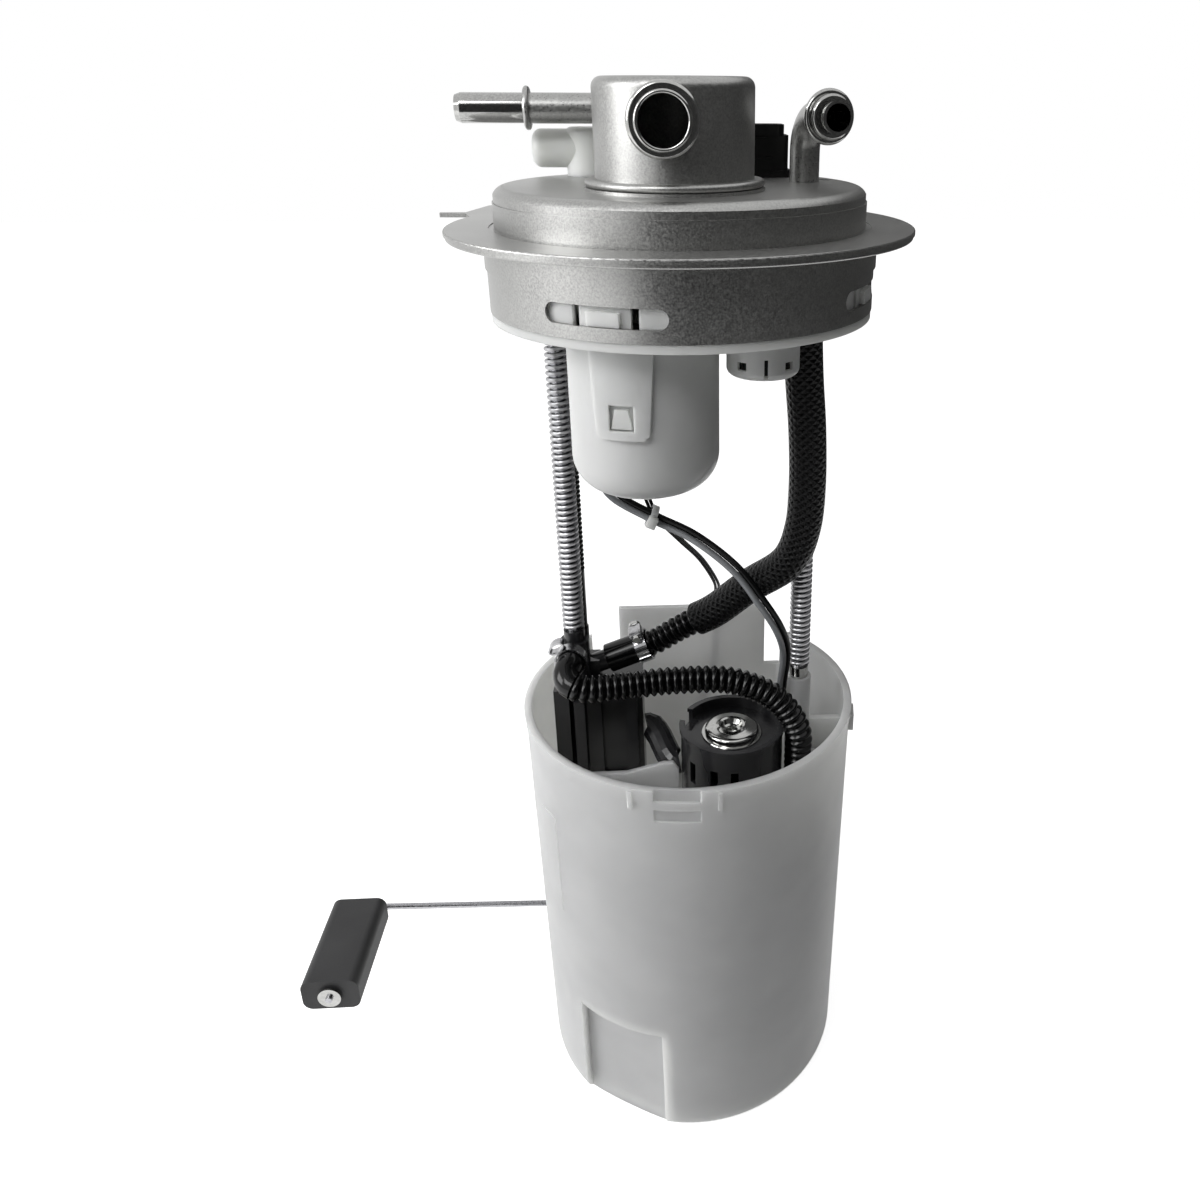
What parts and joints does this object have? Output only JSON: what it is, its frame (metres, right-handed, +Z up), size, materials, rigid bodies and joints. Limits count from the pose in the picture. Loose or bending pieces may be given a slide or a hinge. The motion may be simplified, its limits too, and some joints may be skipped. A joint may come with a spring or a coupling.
{
  "type": "fuel pump",
  "caption": "In-tank fuel pump module: steel flange with ports, sprung guide rods, fuel reservoir with pump and pressure regulator, and a float level sender.",
  "frame": {"origin": "on the axis of the tank's opening, at the underside of the mounting flange, where it seals on the tank", "axes": "+Z up out of the tank; the vapour port points along -Y and the level sender's float lies toward -X"},
  "size_m": [0.234, 0.15, 0.3895],
  "materials": {
    "satin_steel": "satin, fine-grained",
    "bright_steel": "bright drawn",
    "spring_steel": "drawn wire",
    "black_nylon": "moulded",
    "white_nylon": "moulded",
    "clear_nylon": "moulded, milky",
    "grey_nylon": "smooth",
    "black_rubber": "moulded",
    "black_braid": "braided",
    "black_hose": "corrugated, glossy",
    "black_insulation": "smooth",
    "grey_insulation": "smooth",
    "brass_pins": "plated",
    "dark_ferrite": "matt",
    "copper_windings": "enamelled",
    "brown_resin": "moulded",
    "cast_aluminium": "cast",
    "strainer_mesh": "woven",
    "ceramic_card": "printed",
    "float_foam": "closed-cell foam skin"
  },
  "bodies": {
    "flange": {"flange_cover": "satin_steel", "skirt": "satin_steel", "vapor_can": "satin_steel", "vapor_port": "bright_steel", "feed_tube": "bright_steel", "elbow_tube": "satin_steel", "connector_body": "black_nylon", "connector_terminals": "brass_pins", "connector_seal": "black_rubber", "pressure_sensor": "white_nylon", "sensor_grommet": "black_rubber", "carrier_plate": "white_nylon", "valve_cup": "white_nylon", "vent_spring": "spring_steel", "rollover_cap": "white_nylon", "guide_rod_left": "bright_steel", "guide_rod_right": "bright_steel", "rod_clips": "spring_steel", "spring_left": "spring_steel", "spring_right": "spring_steel", "braided_sleeve": "black_braid", "feed_hose": "black_hose", "drain_tube": "grey_nylon", "wire_black": "black_insulation", "wire_grey": "grey_insulation", "sender_wires": "black_insulation", "cable_tie": "white_nylon"},
    "vent_valve": {"vent_float": "black_nylon"},
    "rollover_valve": {"rollover_float": "black_nylon"},
    "reservoir": {"reservoir": "clear_nylon", "spring_bush": "bright_steel", "spring_seat": "black_nylon", "hose_bracket": "black_nylon", "hose_clamp_left": "bright_steel", "hose_clamp_worm": "bright_steel", "clamp_screw": "bright_steel", "return_hose": "black_hose", "transfer_tube": "black_nylon", "pump_cage": "black_nylon", "pressure_regulator": "satin_steel", "pump_end_cap": "black_nylon", "pump_shell": "satin_steel", "pump_magnets": "dark_ferrite", "pump_inlet_cover": "cast_aluminium", "pump_isolators": "black_rubber", "strainer": "strainer_mesh", "jet_pump": "black_nylon", "umbrella_valve": "black_rubber", "sender_housing": "black_nylon", "sender_card": "ceramic_card"},
    "rotor": {"pump_armature": "copper_windings", "pump_impeller": "brown_resin"},
    "level_arm": {"float_arm": "bright_steel", "wiper": "brass_pins", "push_nut": "bright_steel"},
    "float": {"float": "float_foam"}
  },
  "joints": [
    {"name": "reservoir_slide", "type": "slide", "parent": "flange", "child": "reservoir", "axis": [0, 0, 1], "range_m": [0, 0.04], "stiffness_N_per_m": 400, "springref_m": -0.05, "deforming": ["spring_left", "spring_right", "braided_sleeve", "feed_hose", "drain_tube", "wire_black", "wire_grey", "sender_wires", "cable_tie"]},
    {"name": "vent_float_slide", "type": "slide", "parent": "flange", "child": "vent_valve", "axis": [0, 0, 1], "range_m": [0, 0.01], "deforming": ["vent_spring"]},
    {"name": "rollover_float_slide", "type": "slide", "parent": "flange", "child": "rollover_valve", "axis": [0, 0, 1], "range_m": [0, 0.0025]},
    {"name": "pump_spin", "type": "hinge", "parent": "reservoir", "child": "rotor", "pos_m": [0.016, -0.0135, -0.25], "axis": [0, 0, 1], "continuous": true},
    {"name": "level_arm_hinge", "type": "hinge", "parent": "reservoir", "child": "level_arm", "pos_m": [-0.036, 0.055, -0.33], "axis": [0, 1, 0], "range_deg": [0, 50]},
    {"name": "float_swivel", "type": "hinge", "parent": "level_arm", "child": "float", "pos_m": [-0.1475, 0, -0.2962], "axis": [0, 1, 0], "continuous": true}
  ]
}
